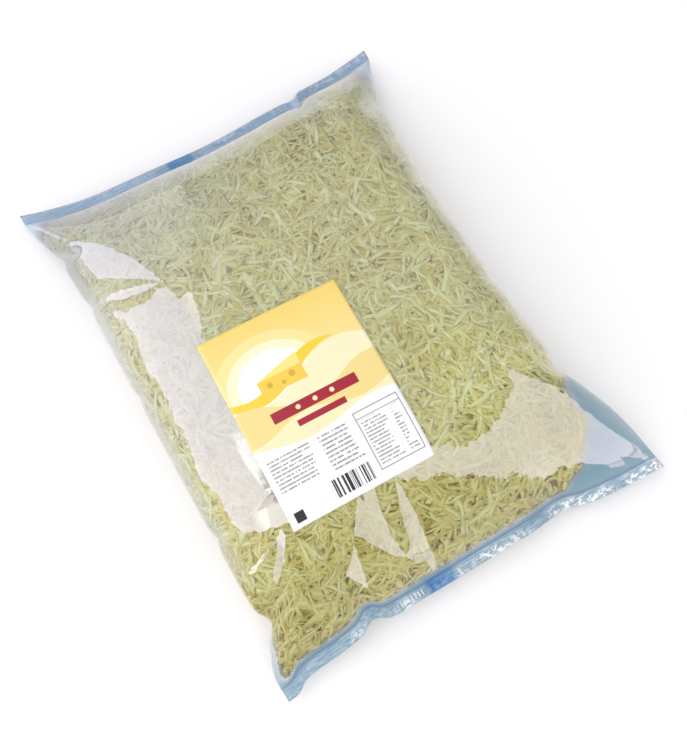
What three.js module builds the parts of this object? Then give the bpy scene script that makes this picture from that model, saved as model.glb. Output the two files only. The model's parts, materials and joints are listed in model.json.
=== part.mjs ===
// A catering pillow bag of grated cheese, lying flat on its back, in millimetres.
//
// The bag is a tube of clear film, sealed flat across both ends. Filling it makes the tube narrower in the
// middle than at the seals, so that its four corners stand out as flat ears. The film and what it holds are
// one closed solid. A paper label lies on the upper face.
//
// X runs across the bag, Y along it towards the far seal, and Z up from the surface that it lies on.
// A place on the film is given by two shares: across, from -1 at the left side to 1 at the right, and
// along, from -1 at the near seal's edge to 1 at the far seal's edge.
import * as THREE from "three";

// Driving dimensions, in millimetres.
const FLAT_WIDTH = 300; // the empty tube, and so each seal
const LENGTH = 398; // from ear tip to ear tip, near to far
const HEIGHT = 72; // of the filled body, at its highest
const SEAL_BAND = 9; // how wide each end seal is
const FIN = 1; // how thick a seal is
const SIDE_HEIGHT = 32; // of the body's side folds, above the floor
const SIDE_ROUNDING = { body: 40, seal: 22 }; // how far in from a side fold the film is curved
const HEM = 1.2; // over this stretch a seal thins to its edge
const LABEL_WIDTH = 100;
const LABEL_LENGTH = 132;
const LABEL_THICKNESS = 0.4;
const LABEL_GAP = 0.3; // between the label and the film
const LABEL_PLACE = { x: -45, y: -49, turn: -0.04 }; // its middle, and its turn in radians
const COLUMNS = 46; // facets across one face of the bag, without the hems
const ROWS = 54; // facets along it, without the two seals

// Worked out from them.
const HALF_WIDTH = FLAT_WIDTH / 2;
const HALF_LENGTH = LENGTH / 2;
const SEAL_START = 1 - SEAL_BAND / HALF_LENGTH; // the share of the length where a seal begins

// Each seal's outer edge: at x, how far it is drawn in from the line through the ear tips.
// Each is drawn in between its ears, with a sharp step where the seal has folded on itself.
const FAR_EDGE = [[-150, 3], [-132, 8], [-96, 14], [-30, 18], [62, 15], [74, 16], [83, 11], [116, 6], [150, 0]];
const NEAR_EDGE = [
  [-150, 3], [-142, 4], [-133, 9], [-105, 11], [-90, 13], [-79, 18], [-68, 13], [-46, 12], [40, 10], [72, 11],
  [90, 6], [120, 2], [150, 0],
];

// Each side fold: at y, how far out it lies. The body is narrower than the seals, the ears stand out.
const LEFT_SIDE = [
  [-199, 150], [-180, 150], [-164, 144], [-151, 139.5], [-142, 141.5], [-100, 141.5], [0, 140.5], [100, 139],
  [130, 140], [145, 139.5], [165, 144], [186, 149.5], [199, 150],
];
const RIGHT_SIDE = [
  [-199, 150], [-178, 147.5], [-161, 144], [-142, 138], [-125, 130.5], [-107, 121.5], [-85, 118], [-50, 115.5],
  [0, 114.5], [50, 116], [100, 120], [128, 124], [144, 127.5], [165, 138], [190, 149], [199, 150],
];

// Where along the bag each ear leaves the body. Past it the side fold comes down to the seal's height.
const EAR_START = { left: { far: 150, near: 152 }, right: { far: 146, near: 112 } };

// How each end differs: the seal's height in its middle and at its tips, and the place where it folds.
const ENDS = {
  far: { edge: FAR_EDGE, height: 17, tip: 13, fold: { x: 78, width: 10, lift: 4 } },
  near: { edge: NEAR_EDGE, height: 13, tip: 10, fold: { x: -79, width: 10, lift: 5 } },
};

// Valleys that are deep enough to shape the bag, each between two points of its plan, deepest at from.
const VALLEYS = [
  { from: [-78, -182], to: [-62, -132], depth: 6, width: 20 }, // sets the near left ear off
  { from: [80, 184], to: [88, 140], depth: 5, width: 20 }, // sets the far right ear off
  { from: [-141, 103], to: [-88, 98], depth: 4, width: 14 }, // a buckle across the left side
  { from: [-141, 146], to: [-98, 134], depth: 3, width: 16 }, // where the far left ear begins
  { from: [-141, -150], to: [-96, -118], depth: 4, width: 16 }, // where the near left ear begins
  { from: [124, -106], to: [80, -98], depth: 4, width: 16 }, // where the near right ear begins
  { from: [128, 146], to: [96, 122], depth: 3, width: 16 }, // where the far right ear begins
  { from: [-142, -88], to: [-118, -82], depth: 2.5, width: 12 },
  { from: [-142, 20], to: [-120, 26], depth: 2, width: 12 },
  { from: [116, 62], to: [96, 56], depth: 2.5, width: 12 },
  { from: [115, -30], to: [98, -34], depth: 2, width: 12 },
  { from: [20, -186], to: [8, -140], depth: 4, width: 20 },
  { from: [84, -188], to: [64, -148], depth: 3, width: 18 },
  { from: [-26, 182], to: [-20, 144], depth: 3, width: 20 },
  { from: [30, 182], to: [34, 152], depth: 2, width: 16 },
];

const clamp = (value, low, high) => Math.min(high, Math.max(low, value));
const mix = (a, b, share) => a + (b - a) * share;

function smoothStep(low, high, value) {
  const t = clamp((value - low) / (high - low), 0, 1);
  return t * t * (3 - 2 * t);
}

// The height of a smooth curve that runs through the given points, at one place along it.
function curveThrough(points, at) {
  const last = points.length - 1;
  const place = clamp(at, points[0][0], points[last][0]);
  const next = Math.max(1, points.findIndex(([x]) => place <= x));
  const slope = (k) => {
    const [before, after] = [points[Math.max(0, k - 1)], points[Math.min(last, k + 1)]];
    return (after[1] - before[1]) / (after[0] - before[0]);
  };
  const [[x0, y0], [x1, y1]] = [points[next - 1], points[next]];
  const run = x1 - x0;
  const t = (place - x0) / run;
  const eased = t * t * (3 - 2 * t);
  return mix(y0, y1, eased) + run * t * (1 - t) * ((1 - t) * slope(next - 1) - t * slope(next));
}

// 1 in the middle of the bag, 0 at a seal's start.
const inward = (along) => clamp(1 - Math.abs(along) / SEAL_START, 0, 1);
const endOf = (along) => (along < 0 ? ENDS.near : ENDS.far);

// The height of a seal at x: it droops to the ear tips, waves a little, and lifts where it is folded.
function sealHeight(x, { height, tip, fold }) {
  const droop = (height - tip) * Math.pow(Math.min(1, Math.abs(x) / HALF_WIDTH), 2);
  const wave = 1.2 * Math.sin(x / 17 + height);
  return height - droop + wave + fold.lift * Math.exp(-Math.abs(x - fold.x) / fold.width);
}

// How deep the valleys lie at a point of the plan. Their sides are straight next to the bottom line.
function valleyDepth(x, y) {
  let depth = 0;
  for (const { from, to, depth: deepest, width } of VALLEYS) {
    const run = [to[0] - from[0], to[1] - from[1]];
    const share = ((x - from[0]) * run[0] + (y - from[1]) * run[1]) / (run[0] ** 2 + run[1] ** 2);
    const held = clamp(share, 0, 1);
    const away = Math.hypot(x - from[0] - held * run[0], y - from[1] - held * run[1]);
    depth += deepest * (1 - 0.8 * held) * Math.max(0, 1 - away / width) ** 2;
  }
  return depth;
}

// Turns a point of the plan into the label's own directions, from its middle.
function onLabel(x, y) {
  const [c, s] = [Math.cos(LABEL_PLACE.turn), Math.sin(LABEL_PLACE.turn)];
  const [dx, dy] = [x - LABEL_PLACE.x, y - LABEL_PLACE.y];
  return [c * dx + s * dy, c * dy - s * dx];
}

// 1 under the label and 0 well clear of it, because the paper keeps the film smooth.
function underLabel(x, y) {
  const [right, up] = onLabel(x, y);
  const past = Math.max(Math.abs(right) - LABEL_WIDTH / 2, Math.abs(up) - LABEL_LENGTH / 2);
  return 1 - smoothStep(2, 22, past);
}

// The uneven heap of shreds pressing on the film from inside: low bumps of 15 to 60 mm.
function lumps(x, y) {
  const broad = Math.sin(x / 13 + 1.3 * Math.sin(y / 21)) * Math.sin(y / 15 + 1.1 * Math.sin(x / 19) + 0.7);
  const fine = Math.sin(x / 5.1 + y / 7.3) * Math.sin(y / 5.7 - x / 9.1 + 2);
  return 0.9 * broad + 0.5 * fine;
}

// The height of the top face, 0 to 1, from a seal's start to the full body. It falls off over a longer
// stretch beside the sides than in the middle.
function fullness(along, besideSide) {
  const steepness = mix(3.8, 1.9, Math.pow(besideSide, 3));
  return Math.pow(1 - Math.pow(1 - inward(along), steepness), 0.75);
}

// The place of the side fold in one section of the bag, and how high the section's two faces stand.
function sectionAt(along, isLeft) {
  const nominal = along * HALF_LENGTH;
  const ear = EAR_START[isLeft ? "left" : "right"][along < 0 ? "near" : "far"];
  const left = curveThrough(LEFT_SIDE, nominal);
  const right = curveThrough(RIGHT_SIDE, nominal);
  const middle = (right - left) / 2;
  const half = (right + left) / 2;
  const sealZ = sealHeight(isLeft ? -half : half, endOf(along));
  const sideZ = mix(SIDE_HEIGHT, sealZ, smoothStep(ear - 26, ear + 22, Math.abs(nominal)));
  return { middle, half, sideZ };
}

// A point of the film. face is 1 for the upper face and -1 for the underside.
function filmPoint(across, along, face) {
  const end = endOf(along);
  const isLeft = across < 0;
  const { middle, half, sideZ } = sectionAt(along, isLeft);
  const ease = Math.abs(across);
  const drawnIn = (x) => along * (HALF_LENGTH - curveThrough(end.edge, x));
  const fromEdge = Math.min((1 - ease) * HALF_WIDTH, (1 - Math.abs(along)) * HALF_LENGTH);
  const halfFin = (FIN / 2) * Math.min(1, fromEdge / HEM);
  if (Math.abs(along) >= SEAL_START) {
    const x = middle + across * half;
    return new THREE.Vector3(x, drawnIn(x), sealHeight(x, end) + face * halfFin);
  }

  // Each face of a section is flat in its middle and curved, like a quarter of an oval, beside its side fold.
  const opening = smoothStep(0, 0.45, inward(along));
  const arcRun = mix(SIDE_ROUNDING.seal, SIDE_ROUNDING.body, opening);
  const level = face > 0 ? fullness(along, 0) * HEIGHT : 0;
  const arcRise = Math.abs(level - sideZ) * Math.min(1, inward(along) * 8);
  const arcLength = (Math.PI / 2) * Math.sqrt((arcRun ** 2 + arcRise ** 2) / 2);
  const flatShare = (half - arcRun) / (half - arcRun + arcLength);
  const turned = clamp((ease - flatShare) / (1 - flatShare), 0, 1) * (Math.PI / 2);
  const out = ease < flatShare ? (ease / flatShare) * (half - arcRun) : half - arcRun + arcRun * Math.sin(turned);
  const x = middle + (isLeft ? -out : out);
  const y = drawnIn(x);
  const sealZ = sealHeight(x, end);
  const besideSide = out / half;
  const lid = HEIGHT - 3 * besideSide ** 2;
  const floor = sealZ * Math.pow(1 - smoothStep(0, 0.24, inward(along)), 1.3);
  const flatZ = face > 0 ? mix(sealZ, lid, fullness(along, besideSide)) : floor;
  const seam = face * halfFin * (1 - smoothStep(0, 0.1, inward(along))); // carries the fin's thickness on
  const z = mix(sideZ, flatZ, Math.cos(turned)) + seam;

  // Lumps and valleys push the film along its own outward direction, and the underside only at its sides.
  const fade = Math.min(1, inward(along) * 9);
  const bumps = face > 0 ? lumps(x, y) * (1 - underLabel(x, y)) * Math.cos(turned) : 0;
  const push = (bumps - valleyDepth(x, y)) * fade;
  const lift = face > 0 ? push * Math.cos(turned) : 0;
  return new THREE.Vector3(x + push * Math.sin(turned) * (isLeft ? -1 : 1), y, Math.max(0, z + lift));
}

// The shares along the bag at which rows of points lie: the hems, the seals, and the body between them, with
// rows closer together towards its ends.
function rowShares() {
  const shares = [];
  for (let row = 0; row <= ROWS; row++) {
    const even = (2 * row) / ROWS - 1;
    shares.push(SEAL_START * mix(even, Math.sin((even * Math.PI) / 2), 0.45));
  }
  const hem = 1 - HEM / HALF_LENGTH;
  return [-1, -hem, ...shares, hem, 1];
}

// The shares across it: even along the film, with a hem at each side.
function columnShares() {
  const hem = 1 - HEM / HALF_WIDTH;
  const shares = [];
  for (let column = 0; column <= COLUMNS; column++) shares.push(hem * ((2 * column) / COLUMNS - 1));
  return [-1, ...shares, 1];
}

// Joins a grid of upper points and a grid of lower points, which meet along their rims, into one solid.
function closedSheet(upper, lower) {
  const rows = upper.length;
  const columns = upper[0].length;
  const positions = [];
  const index = [];
  const add = (point) => positions.push(point.x, point.y, point.z) / 3 - 1;
  const onRim = (row, column) => row === 0 || column === 0 || row === rows - 1 || column === columns - 1;
  const top = upper.map((line) => line.map(add));
  const bottom = lower.map((line, row) =>
    line.map((point, column) => (onRim(row, column) ? top[row][column] : add(point))),
  );
  for (let row = 0; row < rows - 1; row++) {
    for (let column = 0; column < columns - 1; column++) {
      // Each four-sided patch is cut from the grid's middle outwards, so that no triangle at a corner of the
      // grid has all its three points on the rim, where the two faces meet.
      const cutsUp = row < rows / 2 === column < columns / 2;
      for (const face of [top, bottom]) {
        const [a, b] = [face[row][column], face[row][column + 1]];
        const [d, c] = [face[row + 1][column], face[row + 1][column + 1]];
        const triangles = cutsUp ? [[a, b, c], [a, c, d]] : [[a, b, d], [b, c, d]];
        for (const [p, q, r] of triangles) index.push(...(face === top ? [p, q, r] : [p, r, q]));
      }
    }
  }
  const geometry = new THREE.BufferGeometry();
  geometry.setAttribute("position", new THREE.Float32BufferAttribute(positions, 3));
  geometry.setIndex(index);
  geometry.computeVertexNormals();
  return geometry;
}

function makeBag() {
  const along = rowShares();
  const across = columnShares();
  const face = (side) => along.map((v) => across.map((u) => filmPoint(u, v, side)));
  return closedSheet(face(1), face(-1));
}

// The height of the film's upper face at a point of the plan, reached in a few ever smaller steps.
function filmHeight(x, y) {
  let [across, along] = [0, 0];
  for (let step = 0; step < 14; step++) {
    const here = filmPoint(across, along, 1);
    across += (x - here.x) / HALF_WIDTH;
    along += (y - here.y) / HALF_LENGTH;
  }
  return filmPoint(across, along, 1).z;
}

// The label is a sheet of paper that follows the film just above it.
function makeLabel() {
  const [facetsAcross, facetsAlong] = [10, 13];
  const sheet = new THREE.BoxGeometry(
    LABEL_WIDTH, LABEL_LENGTH, LABEL_THICKNESS, facetsAcross, facetsAlong, 1,
  );
  sheet.rotateZ(LABEL_PLACE.turn);
  sheet.translate(LABEL_PLACE.x, LABEL_PLACE.y, LABEL_GAP + LABEL_THICKNESS / 2);
  const place = sheet.attributes.position;
  for (let i = 0; i < place.count; i++) {
    place.setZ(i, place.getZ(i) + filmHeight(place.getX(i), place.getY(i)));
  }
  sheet.computeVertexNormals();
  return sheet;
}

function part(name, geometry, color, roughness) {
  const material = new THREE.MeshStandardMaterial({ color, roughness, metalness: 0 });
  const mesh = new THREE.Mesh(geometry, material);
  mesh.name = name;
  return mesh;
}

const root = new THREE.Group();
root.add(part("bag", makeBag(), 0xcfcca0, 0.25));
root.add(part("label", makeLabel(), 0xf0d98c, 0.55));

export default root;
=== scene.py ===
import json
import math

import bmesh
import bpy
import numpy as np
from mathutils import Matrix, Vector

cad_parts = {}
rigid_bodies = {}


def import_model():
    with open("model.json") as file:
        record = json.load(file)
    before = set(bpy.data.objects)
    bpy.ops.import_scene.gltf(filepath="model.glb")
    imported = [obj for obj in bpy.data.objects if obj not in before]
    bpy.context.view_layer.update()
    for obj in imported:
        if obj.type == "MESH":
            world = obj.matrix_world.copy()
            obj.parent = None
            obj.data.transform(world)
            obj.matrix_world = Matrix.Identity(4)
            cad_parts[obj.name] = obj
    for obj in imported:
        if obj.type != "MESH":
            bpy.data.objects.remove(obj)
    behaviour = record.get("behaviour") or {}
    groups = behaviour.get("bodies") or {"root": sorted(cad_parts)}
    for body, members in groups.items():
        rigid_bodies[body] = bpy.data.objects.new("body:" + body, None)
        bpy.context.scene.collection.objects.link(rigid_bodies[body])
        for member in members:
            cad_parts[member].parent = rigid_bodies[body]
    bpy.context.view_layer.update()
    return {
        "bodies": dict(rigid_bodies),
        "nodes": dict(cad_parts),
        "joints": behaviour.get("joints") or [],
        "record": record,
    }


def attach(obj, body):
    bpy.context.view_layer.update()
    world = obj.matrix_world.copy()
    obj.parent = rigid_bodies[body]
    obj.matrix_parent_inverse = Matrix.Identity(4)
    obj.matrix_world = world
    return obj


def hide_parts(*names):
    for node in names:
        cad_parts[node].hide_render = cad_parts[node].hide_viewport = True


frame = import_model()

# A catering bag of grated cheese: a tube of clear film sealed across both ends, the shreds in it, and a paper
# label. Sizes are in millimetres, and the studio's in metres. X runs across the bag, Y along it, Z up.
MM = 0.001
FLAT_WIDTH = 300  # the empty tube, and so each seal
LENGTH = 398  # from ear tip to ear tip
HEIGHT = 72  # of the filled body
SEAL_BAND = 9
WELD = 0.35  # how thick a seal is
SIDE_HEIGHT = 32  # of the body's side folds, above the floor
SIDE_ROUNDING = {"body": 40, "seal": 22}  # how far in from each side the film rounds over
CROWN = {"both": 3, "left": 3.5}  # how much lower the top is at the sides, and more so at the left
HEM = 1.2  # how far in from its edge a seal reaches its full thickness
# The label's middle, its turn in radians, its size, its thickness and its gap from the film.
LABEL = {"x": -45, "y": -49, "turn": -0.04, "width": 100, "length": 132, "paper": 0.16, "gap": 0.22}
BACK_SEAM = -27  # the x of the seam along the underside
HALF_WIDTH = FLAT_WIDTH / 2
HALF_LENGTH = LENGTH / 2
SEAL_START = 1 - SEAL_BAND / HALF_LENGTH

# How far a seal's outer edge is drawn in at each X.
FAR_EDGE = [(-150, 3), (-132, 8), (-96, 14), (-30, 18), (62, 15), (74, 16), (83, 11), (116, 6), (150, 0)]
NEAR_EDGE = [(-150, 3), (-142, 4), (-133, 9), (-105, 11), (-90, 13), (-79, 18), (-68, 13), (-46, 12),
             (40, 10), (72, 11), (90, 6), (120, 2), (150, 0)]
# How far each side reaches at each Y of the flat tube.
LEFT_SIDE = [(-199, 150), (-180, 150), (-164, 144), (-151, 139.5), (-142, 141.5), (-100, 141.5), (0, 140.5),
             (100, 139), (130, 140), (145, 139.5), (165, 144), (186, 149.5), (199, 150)]
RIGHT_SIDE = [(-199, 150), (-178, 147.5), (-161, 144), (-142, 138), (-125, 130.5), (-107, 121.5), (-85, 118),
              (-50, 115.5), (0, 114.5), (50, 116), (100, 120), (128, 124), (144, 127.5), (165, 138),
              (190, 149), (199, 150)]
EAR_START = {"left": (152, 150), "right": (112, 146)}  # near, far
EAR_EASE = (26, 22)  # how far before and after that the side fold climbs to the seal
SEAL_LIE = {"near": (13, 10, -79, 5), "far": (17, 13, 78, 4)}  # middle, tip, where it folds, lift there

# Valleys: from (deepest), to, depth, width.
VALLEYS = [
    ((-78, -182), (-62, -132), 6, 20), ((80, 184), (88, 140), 5, 20), ((-141, 96), (-92, 72), 3, 12),
    ((-141, 146), (-110, 134), 1, 16), ((-141, -150), (-96, -118), 4, 16), ((124, -106), (80, -98), 4, 16),
    ((128, 146), (96, 122), 3, 16), ((-142, -88), (-118, -82), 2.5, 12), ((-142, 20), (-120, 26), 2, 12),
    ((116, 62), (96, 56), 2.5, 12), ((115, -30), (98, -34), 2, 12), ((20, -186), (8, -140), 4, 20),
    ((84, -188), (64, -148), 3, 18), ((-26, 182), (-20, 144), 3, 20), ((30, 182), (34, 152), 2, 16),
]

# Flat facets that the film is creased into: the outline, anticlockwise, and how steeply each edge rises
# inwards.
FACETS = [
    (((-88, 70), (-124, 102), (-140, 98), (-130, 79), (-110, 69.5)), (0.22, 0.3, 0.4, 0.4, 0.4)),
    (((-130, 148), (-148, 191), (-150, 190), (-133, 147)), (0.5, 0.5, 0.5, 0.5)),
    (((-104, -105), (-121, -127), (-122, -133), (-113, -127), (-101, -110)), (0.2, 0.3, 0.3, 0.3, 0.3)),
    (((-104, -106), (-136, -117), (-136, -121), (-104, -109)), (0.25, 0.3, 0.25, 0.3)),
    (((-106, -124), (-134, -143), (-136, -147), (-107, -128)), (0.25, 0.3, 0.25, 0.3)),
    (((-95, -84), (-119, -89), (-119, -92.5), (-95, -87.5)), (0.3, 0.3, 0.3, 0.3)),
    (((-42, -114), (-52, -112), (-66, -134), (-43, -158), (-40, -136)), (0.12, 0.2, 0.2, 0.11, 0.11)),
    (((-24, -120), (-31, -118), (-42, -160), (-34, -170), (-28, -176), (-22, -148)),
     (0.12, 0.2, 0.15, 0.15, 0.11, 0.11)),
    (((-66, -138), (-71, -138), (-83, -150), (-73, -165), (-68, -150)), (0.12, 0.2, 0.15, 0.12, 0.12)),
    (((110, -97), (70, -84), (70, -87.5), (110, -101)), (0.4, 0.5, 0.4, 0.5)),
]

# Where the film is drawn taut and mirrors the room: how crisp the edge is, and the outline.
TAUT = [
    (3, [(-129, 148), (-114, 128), (-107, 115), (-98, 99), (-93, 83), (-88, 70), (-95, 76), (-112, 90),
         (-124, 102), (-126, 111), (-127, 126), (-129, 140)]),
    (3, [(-138, 93), (-127, 87), (-116, 82), (-103, 76), (-91, 72), (-98, 71), (-107, 71.5), (-117, 75),
         (-126, 83)]),
    (1.6, [(-131, 79), (-120, 67), (-108, 64), (-100, 65), (-91, 68.5), (-87, 61), (-86, 54), (-79, 56),
         (-76, 53), (-81, 35), (-86, 23), (-85, 0), (-90, -108), (-99, -106), (-106, -105), (-116, -101),
         (-124, -97), (-127, -90), (-126, -74), (-127, -64), (-131, -52), (-129, -42), (-126, -23),
         (-126, -11), (-124, 5), (-125, 21), (-125, 32), (-122, 47), (-123, 63), (-129, 71)]),
    (3, [(-104, -107), (-103, -112), (-111, -124), (-117, -130), (-121, -133), (-122, -129), (-118, -123),
         (-113, -119)]),
    (3, [(-136, -119), (-121, -114), (-110, -111), (-103, -108), (-107, -111), (-117, -115),
         (-131, -120.5)]),
    (3, [(-150, 193), (-139, 170), (-129, 148), (-130, 148), (-140.5, 169)]),
    (1, [(73, -90), (79, -99), (88, -108), (96, -116), (102, -128), (108, -140), (115, -152), (123, -164),
         (135, -176), (148, -194), (132, -184), (120, -178), (125, -186), (112, -181), (104, -175),
         (92, -169), (82, -165), (75, -163), (64, -165), (52, -157), (44, -150), (38, -152), (29, -145),
         (11, -136), (2, -128), (-7, -128), (-22, -121), (-26, -112), (3, -110), (13, -118), (27, -121),
         (40, -123), (49, -118), (60, -112), (70, -106), (73, -98)]),
    (5, [(-50, -108), (-40, -108), (-45, -131), (-46, -147), (-43, -159), (-49, -157), (-57, -146),
         (-63, -136), (-67, -133), (-58, -121)]),
    (5, [(-27, -115), (-26, -125), (-26, -141), (-27, -159), (-26, -173), (-30, -176), (-32, -168),
         (-38, -166), (-44, -159), (-40, -157), (-37, -152), (-35, -137)]),
    (5, [(-69, -137), (-71, -150), (-73, -164), (-80, -154), (-83, -150), (-76, -145)]),
]

# How far across the cheese reaches at each Y. The near right ear stays empty.
FILL_LEFT = [(-199, -126), (-188, -143), (-176, -146), (-160, -142), (-148, -146), (-138, -170), (152, -170),
             (166, -150), (182, -139), (199, -126)]
FILL_RIGHT = [(-199, 58), (-184, 72), (-172, 90), (-160, 100), (-146, 105), (-130, 107), (-116, 113),
              (-104, 140), (-96, 170), (152, 170), (164, 138), (178, 130), (199, 116)]
EMPTY_ROWS = {"near": 3, "far": 4}  # rows of film beside each weld that hold nothing

AROUND = 172  # film facets across one face
ALONG = 216  # film facets between the seals
SEAL_ROWS = 6
ROW_PITCH = 1.8  # about how far apart the rows lie


def mix(a, b, share):
    return a + (b - a) * share


def smooth_step(low, high, value):
    t = np.clip((value - low) / (high - low), 0, 1)
    return t * t * (3 - 2 * t)


def curve_through(points, at):
    """The smooth curve through the given points, at one place or many."""
    xs, ys = np.array(points, float).T
    at = np.clip(at, xs[0], xs[-1])
    k = np.clip(np.searchsorted(xs, at), 1, len(xs) - 1)
    before, after = np.maximum(np.arange(len(xs)) - 1, 0), np.minimum(np.arange(len(xs)) + 1, len(xs) - 1)
    slope = (ys[after] - ys[before]) / (xs[after] - xs[before])
    run = xs[k] - xs[k - 1]
    t = (at - xs[k - 1]) / run
    bend = run * t * (1 - t) * ((1 - t) * slope[k - 1] - t * slope[k])
    return mix(ys[k - 1], ys[k], t * t * (3 - 2 * t)) + bend


def cloud(x, y, size, seed):
    """Smooth noise between -1 and 1, with bumps about as wide as size."""
    cells, shift = 64, 300
    lattice = np.random.RandomState(seed).uniform(-1, 1, (cells, cells))
    gx, gy = np.asarray(x) / size + shift, np.asarray(y) / size + shift
    ix, iy = np.floor(gx).astype(int), np.floor(gy).astype(int)
    fx, fy = smooth_step(0, 1, gx - ix), smooth_step(0, 1, gy - iy)

    def corner(dx, dy):
        return lattice[(ix + dx) % cells, (iy + dy) % cells]

    return mix(mix(corner(0, 0), corner(1, 0), fx), mix(corner(0, 1), corner(1, 1), fx), fy)


# ---- The film's shape ----

def inward(along):
    """How far in from the seal: 0 at the seal and 1 halfway along the bag."""
    return np.clip(1 - np.abs(along) / SEAL_START, 0, 1)


def seal_height(x, lie):
    """The height above the floor at which a seal lies."""
    middle, tip, fold, lift = lie
    droop = (middle - tip) * np.minimum(1, np.abs(x) / HALF_WIDTH) ** 2
    return middle - droop + 1.2 * np.sin(x / 17 + middle) + lift * np.exp(-np.abs(x - fold) / 10)


def valley_depth(x, y):
    """How deep the valleys draw the film in."""
    depth = np.zeros_like(x)
    for start, end, deepest, width in VALLEYS:
        run = (end[0] - start[0], end[1] - start[1])
        share = ((x - start[0]) * run[0] + (y - start[1]) * run[1]) / (run[0] ** 2 + run[1] ** 2)
        held = np.clip(share, 0, 1)
        away = np.hypot(x - start[0] - held * run[0], y - start[1] - held * run[1])
        depth += deepest * (1 - 0.8 * held) * np.maximum(0, 1 - away / width) ** 2
    return depth


def under_label(x, y):
    """1 under the label, where the film lies smooth, and 0 well away from it."""
    c, s = math.cos(LABEL["turn"]), math.sin(LABEL["turn"])
    dx, dy = x - LABEL["x"], y - LABEL["y"]
    past_side = np.abs(c * dx + s * dy) - LABEL["width"] / 2
    past_end = np.abs(c * dy - s * dx) - LABEL["length"] / 2
    return 1 - smooth_step(2, 22, np.maximum(past_side, past_end))


def lumps(x, y):
    """The cheese's lumps, as they show in the film over it."""
    broad = np.sin(x / 13 + 1.3 * np.sin(y / 21)) * np.sin(y / 15 + 1.1 * np.sin(x / 19) + 0.7)
    fine = np.sin(x / 5.1 + y / 7.3) * np.sin(y / 5.7 - x / 9.1 + 2)
    return 0.35 * broad + 0.08 * fine


def fullness(along, beside):
    """The share of its full height that the bag has. beside is 0 on its middle line and 1 at its sides."""
    steepness = mix(3.8, 1.9, beside ** 3)
    return (1 - (1 - inward(along)) ** steepness) ** 0.75


def film_row(across, along, upper):
    """One row of the film's points across the bag, on the upper face or the underside.

    across and along are from -1 to 1. Each half of the row is flat out to flat_share, and then rounds over.
    """
    left, near = across < 0, along < 0
    edge = NEAR_EDGE if near else FAR_EDGE
    lie = SEAL_LIE["near" if near else "far"]
    nominal = along * HALF_LENGTH
    left_reach, right_reach = curve_through(LEFT_SIDE, nominal), curve_through(RIGHT_SIDE, nominal)
    middle, half = (right_reach - left_reach) / 2, (right_reach + left_reach) / 2
    ease = np.abs(across)
    from_edge = np.minimum((1 - ease) * HALF_WIDTH, (1 - abs(along)) * HALF_LENGTH)
    half_weld = WELD / 2 * np.minimum(1, from_edge / HEM) * (1 if upper else -1)
    open_share = float(inward(along))

    def drawn_in(x):
        return along * (HALF_LENGTH - curve_through(edge, x))

    if abs(along) >= SEAL_START:
        x = middle + across * half
        return np.stack([x, drawn_in(x), seal_height(x, lie) + half_weld], -1)

    ear = np.where(left, EAR_START["left"][0 if near else 1], EAR_START["right"][0 if near else 1])
    side_z = mix(SIDE_HEIGHT, seal_height(np.where(left, -half, half), lie),
                 smooth_step(ear - EAR_EASE[0], ear + EAR_EASE[1], abs(nominal)))
    arc_run = mix(SIDE_ROUNDING["seal"], SIDE_ROUNDING["body"], smooth_step(0, 0.45, open_share))
    level = fullness(along, 0.0) * HEIGHT if upper else 0
    arc_rise = np.abs(level - side_z) * min(1, open_share * 8)
    arc_length = math.pi / 2 * np.sqrt((arc_run ** 2 + arc_rise ** 2) / 2)
    flat_share = (half - arc_run) / (half - arc_run + arc_length)
    turned = np.clip((ease - flat_share) / (1 - flat_share), 0, 1) * math.pi / 2
    out = np.where(ease < flat_share, ease / flat_share * (half - arc_run),
                   half - arc_run + arc_run * np.sin(turned))
    x = middle + np.where(left, -out, out)
    y = drawn_in(x)
    seal_z = seal_height(x, lie)
    beside = out / half
    if upper:
        crown = CROWN["both"] * beside ** 2 + np.where(left, CROWN["left"], 0) * beside ** 4
        flat_z = mix(seal_z, HEIGHT - crown, fullness(along, beside))
    else:
        flat_z = seal_z * (1 - smooth_step(0, 0.24, open_share)) ** 1.3
    seam = half_weld * (1 - smooth_step(0, 0.1, open_share))
    z = mix(side_z, flat_z, np.cos(turned)) + seam
    fade = min(1, open_share * 9)
    bumps = lumps(x, y) * (1 - under_label(x, y)) * np.cos(turned) if upper else 0
    push = (bumps - valley_depth(x, y)) * fade
    lift = push * np.cos(turned) if upper else 0
    return np.stack([x + push * np.sin(turned) * np.where(left, -1, 1), y, np.maximum(0, z + lift)], -1)


def film_grid():
    """The film as a grid: rows along the bag, and in each row the points right round the bag."""
    even = np.linspace(-1, 1, ALONG + 1)
    body = SEAL_START * mix(even, np.sin(even * math.pi / 2), 0.5)
    seal = np.linspace(1, SEAL_START, SEAL_ROWS + 1)[:-1]
    rows = np.concatenate([-seal, body, seal[::-1]])
    across = np.linspace(-1, 1, AROUND + 1)
    points = [np.concatenate([film_row(across, along, True), film_row(across[::-1], along, False)[1:-1]])
              for along in rows]
    return rows, across, np.array(points)


TINY = 1e-9  # keeps a length of nothing from being divided by
MOST_SUNK = 0.42  # of the bag's thickness, so that nothing lies deeper than its middle


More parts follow.
